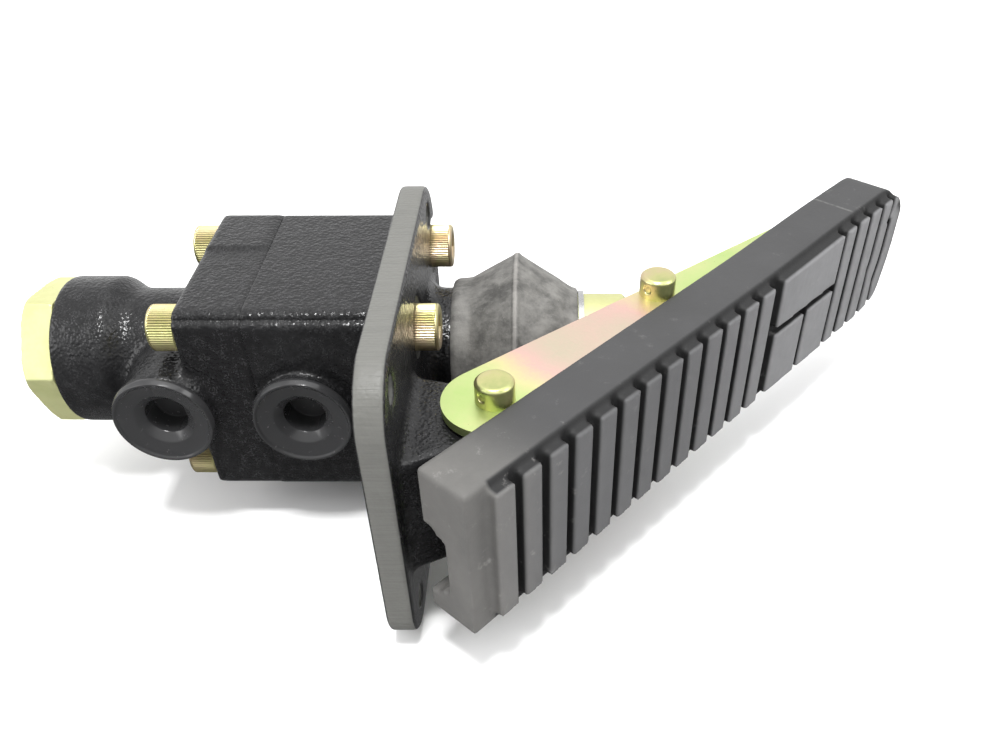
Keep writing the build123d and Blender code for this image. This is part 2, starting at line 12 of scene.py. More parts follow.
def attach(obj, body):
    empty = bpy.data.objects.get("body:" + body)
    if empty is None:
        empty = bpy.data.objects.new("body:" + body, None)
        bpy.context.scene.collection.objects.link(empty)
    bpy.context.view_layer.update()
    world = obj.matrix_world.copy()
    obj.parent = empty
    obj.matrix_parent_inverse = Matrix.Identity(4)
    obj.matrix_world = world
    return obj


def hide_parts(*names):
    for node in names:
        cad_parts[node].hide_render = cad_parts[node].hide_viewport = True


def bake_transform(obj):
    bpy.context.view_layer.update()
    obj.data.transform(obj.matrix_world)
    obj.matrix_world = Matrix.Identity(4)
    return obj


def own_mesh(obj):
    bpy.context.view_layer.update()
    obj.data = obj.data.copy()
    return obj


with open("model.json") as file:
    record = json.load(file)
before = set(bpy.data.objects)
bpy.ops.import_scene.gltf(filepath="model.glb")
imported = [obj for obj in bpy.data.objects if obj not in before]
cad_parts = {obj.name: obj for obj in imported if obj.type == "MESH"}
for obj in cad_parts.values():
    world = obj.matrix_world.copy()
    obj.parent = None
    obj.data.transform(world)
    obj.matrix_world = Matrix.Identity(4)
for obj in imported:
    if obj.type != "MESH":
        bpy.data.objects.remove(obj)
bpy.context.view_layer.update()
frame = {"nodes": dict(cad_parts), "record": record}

bl_info = {
    "name": "Foot brake valve",
    "version": (1, 0, 0),
    "blender": (4, 5, 0),
    "location": "3D View > Sidebar > Brake valve",
    "description": "Builds the castings, screws, boot and treadle of a foot brake valve",
    "category": "Object",
}

MM = 0.001
PEDAL_ANGLE = math.radians(48.2)
HINGE = np.array([37.2, -67.2, 0.0]) * MM
ALONG_PEDAL = np.array([math.cos(PEDAL_ANGLE), math.sin(PEDAL_ANGLE), 0.0])
OFF_PEDAL = np.array([-math.sin(PEDAL_ANGLE), math.cos(PEDAL_ANGLE), 0.0])
UP = np.array([0.0, 0.0, 1.0])
ROLLER_PIN_ALONG = 83.3 * MM
PAD_TOP = 29.30 * MM
PAD_TOE = 231 * MM
BLOCK_HALF = 38.5 * MM
SCREW_SPACING_HALF = 28.25 * MM
SMOOTH_ANGLE = 35.0


# Surfaces

def soften(points, radius, steps=4):
    """Rounds the inner corners of an open profile: each becomes a parabola that leaves the
    sides at the given radius, or at a third of the shorter side."""
    points = np.asarray(points, float)
    before = points[:-2] - points[1:-1]
    after = points[2:] - points[1:-1]
    before_length = np.linalg.norm(before, axis=1)[:, None]
    after_length = np.linalg.norm(after, axis=1)[:, None]
    cut = np.minimum(radius, np.minimum(before_length, after_length) / 3)
    start = points[1:-1] + before / before_length * cut
    end = points[1:-1] + after / after_length * cut
    t = np.linspace(0, 1, steps)[None, :, None]
    curve = ((1 - t) ** 2 * start[:, None] + 2 * t * (1 - t) * points[1:-1][:, None]
             + t ** 2 * end[:, None])
    return np.vstack([points[:1], curve.reshape(-1, points.shape[1]), points[-1:]])


def soften_loop(points, radius, steps=4):
    """Rounds every corner of a closed profile in the same way."""
    points = np.asarray(points, float)
    wrapped = np.vstack([points[-1:], points, points[:1]])
    return soften(wrapped, radius, steps)[1:-1]


def place(origin, axis, across=(0.0, 0.0, 1.0)):
    """A 3 by 4 matrix that stands a turned piece at origin with its axis along axis."""
    axis = np.asarray(axis, float) / np.linalg.norm(axis)
    side = np.cross(across, axis)
    side = side / np.linalg.norm(side)
    return np.column_stack([side, np.cross(axis, side), axis, np.asarray(origin, float)])


def shade(mesh):
    """Shades a mesh smooth, with sharp edges where its faces turn by more than SMOOTH_ANGLE."""
    mesh.shade_smooth()
    mesh.set_sharp_from_angle(angle=math.radians(SMOOTH_ANGLE))


def add_object(name, mesh, paint):
    """Stands a mesh in the scene under its one material."""
    mesh.materials.clear()
    mesh.materials.append(paint)
    piece = bpy.data.objects.new(name, mesh)
    bpy.context.scene.collection.objects.link(piece)
    return piece


def paint_node(node, paint):
    """Gives a solid that stays as it is a better material."""
    frame["nodes"][node].data.materials.clear()
    frame["nodes"][node].data.materials.append(paint)


def add_piece(name, points, faces, paint):
    """Puts computed points and faces into a new object."""
    mesh = bpy.data.meshes.new(name)
    mesh.from_pydata(points.tolist(), [], faces)
    mesh.update()
    shade(mesh)
    return add_object(name, mesh, paint)


def turned_surface(profile, segments, where, closed=False, swell=None):
    """A surface of revolution: the point at profile step (h, r) and angle t lies at
    (r s cos t, r s sin t, h), where s is swell(t, h, r), or 1. An end on the axis is one point."""
    height, radius = np.asarray(profile, float).T
    turn = np.linspace(0, 2 * math.pi, segments, endpoint=False)
    grid_t, grid_h = np.meshgrid(turn, height)
    grid_r = np.repeat(radius[:, None], segments, axis=1)
    if swell is not None:
        grid_r = grid_r * swell(grid_t, grid_h, grid_r)
    points = np.stack([grid_r * np.cos(grid_t), grid_r * np.sin(grid_t), grid_h], axis=-1)
    rows = len(height)
    row = np.arange(rows if closed else rows - 1)[:, None]
    column = np.arange(segments)[None, :]
    a = row * segments + column
    b = row * segments + (column + 1) % segments
    c = (row + 1) % rows * segments + (column + 1) % segments
    d = (row + 1) % rows * segments + column
    faces = np.stack([a, b, c, d], axis=-1).reshape(-1, 4)
    points = points.reshape(-1, 3) @ where[:, :3].T + where[:, 3]
    return points, faces


def turned_piece(name, profile, segments, where, paint, closed=False, swell=None):
    """A turned surface as an object, with its ends on the axis merged into single points."""
    points, faces = turned_surface(profile, segments, where, closed, swell)
    return merged(add_piece(name, points, faces.tolist(), paint))


def merged(piece):
    """Merges doubled points, drops faces with no area and turns all faces outwards."""
    shape = bmesh.new()
    shape.from_mesh(piece.data)
    bmesh.ops.remove_doubles(shape, verts=shape.verts, dist=1e-7)
    bmesh.ops.dissolve_degenerate(shape, edges=shape.edges, dist=1e-8)
    bmesh.ops.recalc_face_normals(shape, faces=shape.faces)
    shape.to_mesh(piece.data)
    shape.free()
    shade(piece.data)
    return piece


def joined(name, pieces):
    """Several meshes as one object."""
    with bpy.context.temp_override(active_object=pieces[0], selected_editable_objects=pieces):
        bpy.ops.object.join()
    pieces[0].name = name
    return pieces[0]


def soft_copy(node, name, paint, voxel, rounds, fillet=0.0, shift=None, shape_up=None):
    """A copy of a solid with its edges rounded as a mould leaves them: the surface is laid
    again on cells of the voxel's size, then each point moves towards its neighbours' mean.
    A fillet swells the surface by that much and draws it back, which fills inner corners.
    The shift gives the solid's own points their offsets before that, and shape_up gives the
    new surface's points theirs after it."""
    mesh = frame["nodes"][node].data.copy()
    shape = bmesh.new()
    shape.from_mesh(mesh)
    bmesh.ops.remove_doubles(shape, verts=shape.verts, dist=1e-6)
    shape.to_mesh(mesh)
    shape.free()
    if shift is not None:
        move_points(mesh, shift)
    piece = bpy.data.objects.new(name, mesh)
    bpy.context.scene.collection.objects.link(piece)

    def cells():
        remesh = piece.modifiers.new("cells", "REMESH")
        remesh.mode = "VOXEL"
        remesh.voxel_size = voxel

    cells()
    if fillet:
        for way in (1, -1):
            swell = piece.modifiers.new("swell", "DISPLACE")
            swell.mid_level = 0.0
            swell.strength = way * fillet
            cells()
    relax = piece.modifiers.new("relax", "SMOOTH")
    relax.factor = 0.5
    relax.iterations = rounds
    graph = bpy.context.evaluated_depsgraph_get()
    final = bpy.data.meshes.new_from_object(piece.evaluated_get(graph))
    piece.modifiers.clear()
    piece.data = final
    final.name = name
    if shape_up is not None:
        move_points(final, shape_up)
    final.materials.clear()
    final.materials.append(paint)
    final.shade_smooth()
    return piece


def move_points(mesh, offsets):
    """Adds to each point of a mesh the offset that the function gives for it."""
    flat = np.empty(len(mesh.vertices) * 3, dtype=np.float32)
    mesh.vertices.foreach_get("co", flat)
    points = flat.reshape(-1, 3).astype(float)
    mesh.vertices.foreach_set("co", (points + offsets(points)).astype(np.float32).ravel())
    mesh.update()


def step(value, low, high):
    """0 below low and 1 above high, with a smooth step between."""
    t = np.clip((value - low) / (high - low), 0, 1)
    return t * t * (3 - 2 * t)


def body_seam(points):
    """Runs the left casting's end 0.8 mm into the housing, so that no gap shows at the seam."""
    x, y, z = points.T
    return np.column_stack([0.8 * MM * (x > -48.6 * MM), 0 * y, 0 * z])


def corner_shrink(first, second, amount=1.0):
    """The share by which two coordinates, measured from the centre of a corner's rounding, change
    so that each square round that centre becomes a circle: max(u, v) / hypot(u, v) - 1. It is 0
    outside the corner, and amount takes part of the way."""
    u = np.clip(first, 0, None)
    v = np.clip(second, 0, None)
    reach = np.hypot(u, v)
    inside = (first > 0) & (second > 0) & (reach > 0)
    ratio = np.where(inside, np.maximum(u, v) / np.where(inside, reach, 1), 1)
    return np.where(inside, amount * (ratio - 1), 0)


def block_corners(points):
    """Rounds the four long corners of the square block to a radius of 4.5 mm."""
    x, y, z = points.T
    centre = BLOCK_HALF - 4.5 * MM
    past_y, past_z = np.abs(y) - centre, np.abs(z) - centre
    shrink = corner_shrink(past_y, past_z) * (x < 0.2 * MM) * (x > -73 * MM)
    return np.column_stack([0 * x, np.sign(y) * past_y * shrink, np.sign(z) * past_z * shrink])


def body_step(points):
    """Raises the far part of the left flange's top and end by half a millimetre, as it is cast."""
    x, y, z = points.T
    far = step(y, 6.6 * MM, 8.2 * MM)
    top = far * step(z, 37.2 * MM, 37.9 * MM) * step(x, -72.5 * MM, -71.0 * MM)
    end = far * step(-x, 71.2 * MM, 71.9 * MM) * step(np.hypot(y, z), 36 * MM, 38 * MM)
    return np.column_stack([-0.4 * MM * end, 0 * y, 0.45 * MM * top]) + block_corners(points)


def pedal_frame(points):
    """The distance along the pedal from its hinge, and off the pedal's hinge line."""
    return (points - HINGE) @ ALONG_PEDAL, (points - HINGE) @ OFF_PEDAL


def heel_notch(points):
    """Deepens the notch in the pad's heel by 3 mm."""
    along, off = pedal_frame(points)
    z = points[:, 2]
    level = np.abs(off + 12.5 * MM) < 0.3 * MM
    floor = level & (z > -22.5 * MM) & (z < 8.0 * MM) & (along < -27.5 * MM)
    return -3.0 * MM * floor[:, None] * OFF_PEDAL


def round_toe(points):
    """Draws the pad's toe in to a soft end. The back and the tread close in towards the middle on
    an ellipse's line, and the toe's upper and lower corners round off. The upper edge then rises
    by 1.5 mm towards the toe, and the lower edge drops by 1.6 mm towards the heel."""
    along, off = pedal_frame(points)
    z = points[:, 2]
    late = np.clip((along - 205 * MM) / (31 * MM), 0, 1)
    close = 1 - np.sqrt(np.clip(1 - (0.9 * late) ** 2, 0, 1))
    middle = -17.0 * MM
    inward = (middle - off) * 0.55 * close
    upper_run, upper_reach = along - PAD_TOE + 30 * MM, z - PAD_TOP + 13 * MM
    lower_run, lower_reach = along - PAD_TOE + 40 * MM, -z - PAD_TOP + 34 * MM
    upper = corner_shrink(0.43 * upper_run, upper_reach)
    lower = corner_shrink(lower_run, lower_reach, 0.45)
    forward = upper_run * upper + lower_run * lower
    rise = upper_reach * upper - lower_reach * lower
    rise = rise + 1.5 * MM * step(along, 110 * MM, 180 * MM) * step(z, 20 * MM, 27 * MM)
    rise = rise - 1.6 * MM * (1 - step(along, -30 * MM, 50 * MM)) * step(-z, 20 * MM, 27 * MM)
    return np.column_stack([inward, forward, rise]) @ np.stack([OFF_PEDAL, ALONG_PEDAL, UP])


# Paints

class Value:
    """An output of a material's node, which can be used in sums."""

    def __init__(self, mix, socket):
        self.mix = mix
        self.socket = socket

    def maths(self, operation, *others):
        inputs = dict(enumerate([self, *others]))
        return self.mix.node("ShaderNodeMath", {"operation": operation}, inputs)

    def __add__(self, other):
        return self.maths("ADD", other)

    __radd__ = __add__

    def __sub__(self, other):
        return self.maths("SUBTRACT", other)

    def __rsub__(self, other):
        return self.mix.node("ShaderNodeMath", {"operation": "SUBTRACT"}, {0: other, 1: self})

    def __mul__(self, other):
        return self.maths("MULTIPLY", other)

    __rmul__ = __mul__

    def band(self, low, high):
        """0 below low and 1 above high, with a smooth step between."""
        settings = {"interpolation_type": "SMOOTHSTEP", "clamp": True}
        return self.mix.node("ShaderNodeMapRange", settings,
                             {"Value": self, "From Min": low, "From Max": high})


class Mix:
    """A material being mixed from nodes."""

    def __init__(self, name):
        self.material = bpy.data.materials.new(name)
        self.material.use_nodes = True
        self.tree = self.material.node_tree
        self.tree.nodes.clear()
        self.object_space = self.node("ShaderNodeTexCoord", output="Object")

    def node(self, kind, settings=None, inputs=None, output=0):
        """Adds a node: its settings are set first, then its sockets' values or links."""
        node = self.tree.nodes.new(kind)
        for key, value in (settings or {}).items():
            setattr(node, key, value)
        for key, value in (inputs or {}).items():
            if isinstance(value, Value):
                self.tree.links.new(value.socket, node.inputs[key])
            else:
                node.inputs[key].default_value = value
        return Value(self, node.outputs[output])

    def noise(self, scale, detail=3.0, roughness=0.5, stretch=(1, 1, 1)):
        """Noise on object coordinates; scale is the number of waves in a metre."""
        coordinates = self.node("ShaderNodeMapping", None, {
            "Vector": self.object_space, "Scale": stretch})
        return self.node("ShaderNodeTexNoise", None, {
            "Vector": coordinates, "Scale": scale, "Detail": detail, "Roughness": roughness})

    def cells(self, scale, feature="SMOOTH_F1"):
        """Distance to the nearest of many scattered points."""
        return self.node("ShaderNodeTexVoronoi", {"feature": feature}, {
            "Vector": self.object_space, "Scale": scale}, "Distance")

    def along(self, direction, origin=(0, 0, 0)):
        """The distance of a point from origin along a direction, in metres."""
        offset = self.node("ShaderNodeVectorMath", {"operation": "SUBTRACT"}, {
            0: self.object_space, 1: tuple(origin)})
        return self.node("ShaderNodeVectorMath", {"operation": "DOT_PRODUCT"}, {
            0: offset, 1: tuple(direction)}, "Value")

    def blend(self, amount, first, second):
        """A colour between two colours."""
        inputs = {0: amount, 6: rgba(first), 7: rgba(second)}
        return self.node("ShaderNodeMix", {"data_type": "RGBA"}, inputs, 2)

    def ramp(self, amount, stops):
        """A colour from a ramp, given as (place, colour) stops."""
        node = self.tree.nodes.new("ShaderNodeValToRGB")
        elements = node.color_ramp.elements
        while len(elements) < len(stops):
            elements.new(0.5)
        for element, (spot, colour) in zip(elements, stops):
            element.position = spot
            element.color = rgba(colour)
        self.tree.links.new(amount.socket, node.inputs[0])
        return Value(self, node.outputs[0])

    def bump(self, height, distance, strength=1.0):
        """A normal that follows a height."""
        return self.node("ShaderNodeBump", None, {
            "Height": height, "Distance": distance, "Strength": strength})

    def finish(self, **sockets):
        """Ends the material in one principled shader, whose sockets are named in lower case."""
        names = {key.replace("_", " ").title().replace("Ior", "IOR"): value
                 for key, value in sockets.items()}
        shader = self.node("ShaderNodeBsdfPrincipled", None, names)
        out = self.tree.nodes.new("ShaderNodeOutputMaterial")
        self.tree.links.new(shader.socket, out.inputs["Surface"])
        return self.material


def rgba(colour):
    """A colour with its alpha, or a linked value unchanged."""
    if isinstance(colour, Value) or len(colour) == 4:
        return colour
    return (*colour, 1.0)


def tint(colour, factor):
    """A colour made lighter or darker by a factor."""
    return tuple(factor * c for c in colour)


def cast_paint(name, colour, grain, rim=None):
    """Gloss black paint over a sand casting: two sizes of pebble under a smooth coat, with pale
    specks, part dusty paint and part painted sparkle, and small painted highlights as grey
    glints. Between the two levels on X that rim gives, the metal is sawn: grey, with fine cross
    lines."""
    mix = Mix(name)
    pebble = mix.cells(850.0)
    swell = mix.noise(260.0, 3.0)
    fine = mix.noise(2100.0, 2.0)
    height = 0.55 * pebble + 0.45 * swell + 0.10 * fine
    dull = mix.noise(40.0, 4.0, 0.6).band(0.46, 0.74)
    dust_and_sparkle = mix.noise(420.0, 4.0, 0.7).band(0.60, 0.80)
    base = mix.blend(dull, colour, tint(colour, 1.35))
    # Pale specks, part dusty paint and part painted sparkle that stands in for highlights.
    base = mix.blend(dust_and_sparkle * 0.25, base, tint(colour, 2.6))
    # Painted highlights: small grey glints where the fine and the coarse noise peak together.
    painted_glint = fine.band(0.50, 0.64) * swell.band(0.42, 0.62)
    base = mix.blend(painted_glint * 0.35, base, (0.075, 0.075, 0.078))
    rough = 0.17 + 0.13 * dull + 0.12 * dust_and_sparkle
    if rim is not None:
        level = mix.along((1, 0, 0))
        edge = level.band(rim[0], rim[0] + 0.0006) * (1 - level.band(rim[1] - 0.0006, rim[1]))
        marks = mix.noise(1300.0, 3.0, 0.6, stretch=(0.05, 1.0, 1.0))
        base = mix.blend(edge * (0.60 + 0.35 * marks), base, (0.165, 0.165, 0.152))
        rough = rough + 0.25 * edge
        height = height * (1 - 0.7 * edge) + 0.25 * edge * marks
    normal = mix.bump(height, grain * 0.0010, 0.9)
    return mix.finish(base_color=base, roughness=rough, normal=normal, specular_ior_level=0.30)


def zinc(name, stops, roughness, cloud=26.0, metal=0.92, middle=None):
    """Passivated zinc plate: broad clouds of colour, fine streaks and a few dark specks. With
    middle, the ramp's late colours come between its first two distances along the pedal and go
    between its last two."""
    mix = Mix(name)
    clouds = mix.noise(cloud, 3.0, 0.55)
    fine = mix.noise(700.0, 2.0)
    amount = clouds + 0.12 * (fine - 0.5)
    if middle is not None:
        along = mix.along(ALONG_PEDAL, HINGE)
        inside = along.band(middle[0], middle[1]) * (1 - along.band(middle[2], middle[3]))
        amount = 0.16 + 0.42 * inside + 0.6 * (amount - 0.4)
    base = mix.ramp(amount, stops)
    specks = mix.cells(520.0, "F1").band(0.10, 0.04) * mix.noise(60.0, 2.0).band(0.5, 0.62)
    base = mix.blend(specks * 0.6, base, (0.10, 0.08, 0.05))
    rough = roughness + 0.16 * fine + 0.10 * clouds
    return mix.finish(base_color=base, metallic=metal, roughness=rough,
                      normal=mix.bump(0.4 * clouds + 0.6 * fine, 0.00012, 0.6))


def steel(name, colour, roughness):
    """Plain ground steel with fine streaks."""
    mix = Mix(name)
    streak = mix.noise(1200.0, 2.0)
    base = mix.blend(streak, tint(colour, 0.8), colour)
    return mix.finish(base_color=base, metallic=1.0, roughness=roughness + 0.15 * streak,
                      normal=mix.bump(streak, 0.00005, 0.5))


def pad_rubber(colour):
    """Moulded rubber: painted shade keeps the grooves dark, the ribs' outer faces are painted
    lighter grey as worn rubber and painted sheen, pale smears lie here and there, the heel is
    scuffed grey, and a light parting line crosses the side near the toe."""
    mix = Mix("pad_rubber")
    depth = mix.along(-OFF_PEDAL, HINGE)
    along = mix.along(ALONG_PEDAL, HINGE)
    face = depth.band(0.0290, 0.0303)
    painted_groove_shade = depth.band(0.0245, 0.0258) * (1 - face) * along.band(-0.0305, -0.0290)
    cloud = mix.noise(38.0, 4.0, 0.6)
    grime = mix.noise(260.0, 4.0, 0.65)
    scratch = mix.noise(520.0, 3.0, 0.6, stretch=(1.0, 1.0, 0.12))
    base = mix.blend(cloud, tint(colour, 0.75), tint(colour, 1.30))
    # Painted shade: the grooves between the ribs are darkened to a fifth of the rubber's colour.
    base = mix.blend(painted_groove_shade * 0.90, base, tint(colour, 0.20))
    # The ribs' outer faces are painted lighter, more so towards the toe: partly worn rubber, partly
    # painted sheen.
    worn_and_sheen = mix.blend(along.band(0.050, 0.150), tint(colour, 2.5), tint(colour, 4.9))
    base = mix.blend(face * (0.55 + 0.3 * grime + 0.15 * scratch), base, worn_and_sheen)
    heel = (1 - along.band(-0.038, 0.004)) * (0.45 + 0.55 * cloud) * (1 - painted_groove_shade)
    base = mix.blend(heel * (0.6 + 0.4 * grime), base, (0.165, 0.160, 0.150))
    smear = mix.noise(150.0, 4.0, 0.7).band(0.60, 0.76)
    near_heel = 1 - along.band(-0.03, 0.03)
    base = mix.blend(smear * (0.14 + 0.30 * near_heel), base, (0.32, 0.31, 0.30))
    line = along.band(0.1790, 0.1797) * (1 - along.band(0.1801, 0.1808))
    parting = line * (1 - depth.band(0.0235, 0.0255))
    base = mix.blend(parting * 0.30 * grime.band(0.3, 0.6), base, (0.24, 0.24, 0.23))
    height = 0.5 * grime + 0.35 * mix.noise(1400.0, 2.0) + 0.2 * scratch + 0.3 * parting
    return mix.finish(base_color=base, roughness=0.50 + 0.2 * cloud + 0.1 * grime,
                      normal=mix.bump(height, 0.00024, 0.7), specular_ior_level=0.35)


def boot_rubber(colour):
    """Dusty grey rubber with a painted highlight: a pale line round the bellows' crest."""
    mix = Mix("boot_rubber")
    level = mix.along((1, 0, 0))
    crest_highlight = level.band(0.0411, 0.0418) * (1 - level.band(0.0422, 0.0430))
    cloud = mix.noise(75.0, 5.0, 0.7)
    grain = mix.noise(900.0, 3.0, 0.6)
    streak = mix.noise(240.0, 3.0, 0.6, stretch=(0.15, 1.0, 1.0))
    base = mix.blend(cloud.band(0.3, 0.7), tint(colour, 0.45), tint(colour, 1.5))
    base = mix.blend(streak.band(0.45, 0.75) * 0.5, base, tint(colour, 2.1))
    base = mix.blend(grain.band(0.58, 0.78) * 0.4, base, tint(colour, 2.4))
    # Painted highlight: a pale line round the bellows' crest, broken up by the cloud noise.
    base = mix.blend(crest_highlight * (0.15 + 0.45 * cloud), base, (0.36, 0.34, 0.32))
    return mix.finish(base_color=base, roughness=0.62 + 0.2 * grain,
                      normal=mix.bump(0.5 * grain + 0.5 * cloud, 0.00035, 0.8))


def moulded_plastic(name, colour):
    """Glossy moulded plastic with faint flow marks and handling scuffs."""
    mix = Mix(name)
    flow = mix.noise(90.0, 3.0)
    scuff = mix.noise(500.0, 3.0, 0.7).band(0.58, 0.8)
    base = mix.blend(scuff * 0.10, colour, (0.10, 0.10, 0.10))
    return mix.finish(base_color=base, roughness=0.14 + 0.1 * flow + 0.2 * scuff,
                      normal=mix.bump(flow, 0.0002, 0.5))


def dull_rubber(name, colour):
    """Plain black seal rubber."""
    mix = Mix(name)
    grain = mix.noise(1100.0, 3.0)
    base = mix.blend(grain, colour, tint(colour, 2))
    return mix.finish(base_color=base, roughness=0.6 + 0.2 * grain,
                      normal=mix.bump(grain, 0.0001, 0.6))


def floor_paper():
    """White studio paper."""
    mix = Mix("floor_paper")
    grain = mix.noise(30.0, 4.0)
    base = mix.blend(grain, (0.93, 0.93, 0.93), (0.96, 0.96, 0.96))
    return mix.finish(base_color=base, roughness=0.9)


GOLD = [(0.30, (0.44, 0.50, 0.20)), (0.42, (0.58, 0.56, 0.26)), (0.52, (0.62, 0.53, 0.31)),
        (0.60, (0.60, 0.46, 0.31)), (0.72, (0.50, 0.54, 0.24))]
BRACKET = [(0.12, (0.44, 0.66, 0.20)), (0.28, (0.58, 0.68, 0.29)), (0.42, (0.74, 0.68, 0.36)),
           (0.58, (0.74, 0.50, 0.44)), (0.74, (0.60, 0.52, 0.40))]
PALE = [(0.30, (0.50, 0.53, 0.23)), (0.50, (0.61, 0.62, 0.32)), (0.70, (0.55, 0.55, 0.26))]


# Sizes and colours that a user may change

class CastingSettings(bpy.types.PropertyGroup):
    """The painted castings."""
    cell: FloatProperty(name="Cell", description="Size of the cells that round the castings' edges",
                        default=0.8 * MM, min=0.4 * MM, unit="LENGTH")
    fillet: FloatProperty(name="Fillet", default=2.2 * MM, min=0.0, unit="LENGTH",
                          description="Radius that fills the castings' inner corners")
    grain: FloatProperty(name="Grain", default=0.6, min=0.0,
                         description="Depth of the casting's pebbles, against one millimetre")
    colour: FloatVectorProperty(name="Paint", description="Colour of the paint", subtype="COLOR",
                                default=(0.0105, 0.0105, 0.0110))


class HardwareSettings(bpy.types.PropertyGroup):
    """The screws, pins and plugs."""
    flutes: IntProperty(name="Flutes", description="Knurl flutes round a screw's head",
                        default=56, min=8)
    flute_depth: FloatProperty(name="Flute depth", description="Depth of the knurl",
                               default=0.30 * MM, unit="LENGTH")
    edge: FloatProperty(name="Edge", description="Rounding of turned edges", default=0.35 * MM,
                        unit="LENGTH")


class RubberSettings(bpy.types.PropertyGroup):
    """The boot and the pedal's pad."""
    pad_colour: FloatVectorProperty(name="Pad", description="Colour of the pad's rubber",
                                    subtype="COLOR", default=(0.046, 0.046, 0.047))
    boot_colour: FloatVectorProperty(name="Boot", description="Colour of the boot's rubber",
                                     subtype="COLOR", default=(0.115, 0.112, 0.105))
    cell: FloatProperty(name="Cell", description="Size of the cells that round the pad's edges",
                        default=0.9 * MM, min=0.4 * MM, unit="LENGTH")


class StageSettings(bpy.types.PropertyGroup):
    """The camera, the lights and the floor."""
    lens: FloatProperty(name="Lens", description="Focal length in millimetres on a 36 mm frame",
                        default=32.964)
    camera_place: FloatVectorProperty(name="Camera", description="Place of the camera",
                                      subtype="XYZ", unit="LENGTH",
                                      default=(0.05349, -0.29132, 0.20219))
    pitch: FloatProperty(name="Pitch", description="How far the camera looks down", default=0.7285,
                         unit="ROTATION")
    yaw: FloatProperty(name="Yaw", description="Turn of the camera to its left", default=0.0213,
                       unit="ROTATION")
    roll: FloatProperty(name="Roll", description="Roll of the camera", default=-0.0137,
                        unit="ROTATION")
    floor_level: FloatProperty(name="Floor", description="Height of the floor", default=-0.0568,
                               unit="LENGTH")


class BuildCastings(bpy.types.Operator):
    """Round the castings' edges and paint them"""
    bl_idname = "brake_valve.castings"
    bl_label = "Castings"

    def execute(self, context):
        made = context.scene.brake_valve_castings
        paint = cast_paint("black_cast_paint", tuple(made.colour), made.grain)
        plate = cast_paint("black_plate_paint", tuple(made.colour), made.grain,
                           rim=(0.0004, 0.0091))
        for node, coat, fillet, shift, shape_up in (
                ("valve_body", paint, made.fillet, body_seam, body_step),
                ("actuator_housing", paint, 0.0, None, block_corners),
                ("pedal_base", plate, made.fillet, None, None)):
            piece = soft_copy(node, "cast_" + node, coat, made.cell, 2, fillet, shift, shape_up)
            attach(piece, "valve")
            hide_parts(node)
        return {"FINISHED"}


class BuildScrews(bpy.types.Operator):
    """Turn the knurled socket head screws of both flanges"""
    bl_idname = "brake_valve.screws"
    bl_label = "Socket screws"

    def execute(self, context):
        made = context.scene.brake_valve_hardware
        paint = zinc("gold_zinc", GOLD, 0.22)
        half = SCREW_SPACING_HALF
        flutes = made.flutes
        head_radius, rim_radius = 8.0 * MM, 4.7 * MM
        depth = made.flute_depth / head_radius
        side = math.pi / 3

        def knurl(turn, height, radius):
            """A rounded wave of the flute's depth, only on the head's side between its chamfers:
            1 less the depth times (0.5 - 0.5 cos(flutes t)) to the power 0.6."""
            fluted = (radius > head_radius - 0.1 * MM) & (height > 0.8 * MM) & (height < 9.0 * MM)
            return np.where(fluted, 1 - depth * (0.5 - 0.5 * np.cos(flutes * turn)) ** 0.6, 1.0)

        def socket(turn, height, radius):
            """A hexagon inside the socket's rim, 0.87 over the cosine of the angle from the middle
            of its side, and a circle elsewhere."""
            inside = (radius < rim_radius) & (height > 4.0 * MM)
            return np.where(inside, 1 / np.cos((turn + side / 2) % side - side / 2) * 0.87, 1.0)

        def swell(turn, height, radius):
            return knurl(turn, height, radius) * socket(turn, height, radius)

        profile = np.array([(-1, 0), (-1, 5), (0, 5), (0, 7.7), (0.4, 8), (0.9, 8), (3, 8), (6, 8),
                            (8.9, 8), (9.4, 8), (10, 7.3), (10, 5.2), (9.6, 4.6), (5, 4.6), (5, 2),
                            (4.4, 0)]) * MM
        profile = soften(profile, made.edge * 0.5, 3)
        for node, name, x, way in (("body_screws", "body_screw_heads", -71.7, -1),
                                   ("plate_screws", "plate_screw_heads", 6.8, 1)):
            heads = []
            for y in (-half, half):
                for z in (-half, half):
                    where = place((x * MM, y, z), (way, 0, 0))
                    heads.append(turned_piece(name, profile, flutes * 6, where, paint, swell=swell))
            piece = joined(name, heads)
            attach(piece, "valve")
            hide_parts(node)
        return {"FINISHED"}


class BuildPlugs(bpy.types.Operator):
    """Turn the hexagon end plug and the three push-in port plugs"""
    bl_idname = "brake_valve.plugs"
    bl_label = "Plugs"

    def execute(self, context):
        made = context.scene.brake_valve_hardware
        black = moulded_plastic("black_plug_plastic", (0.030, 0.030, 0.031))
        profile = np.array([(-12, 0), (-12, 8.0), (-11.4, 8.6), (-2.2, 8.6), (0, 10.8),
                            (0.05, 17.6), (0.3, 17.8), (1.2, 17.8), (3, 17.0), (3, 16.3),
                            (2.3, 15.6), (0.8, 10.4), (-1.8, 7.4), (-10.4, 7.2),
                            (-10.4, 0)]) * MM
        profile = soften(profile, made.edge, 4)
        for node, x, side in (("pressure_port_plug", -81, -1), ("brake_port_plug", -32, -1),
                              ("tank_port_plug", -20, 1)):
            where = place((x * MM, side * 43 * MM, 0), (0, side, 0))
            piece = turned_piece("moulded_" + node, profile, 96, where, black)
            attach(piece, "valve")
            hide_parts(node)
        pale = zinc("pale_zinc", PALE, 0.36, 40.0, 0.55)
        plug = soft_copy("end_plug", "hexagon_end_plug", pale, 0.5 * MM, 2)
        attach(plug, "valve")
        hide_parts("end_plug")
        return {"FINISHED"}


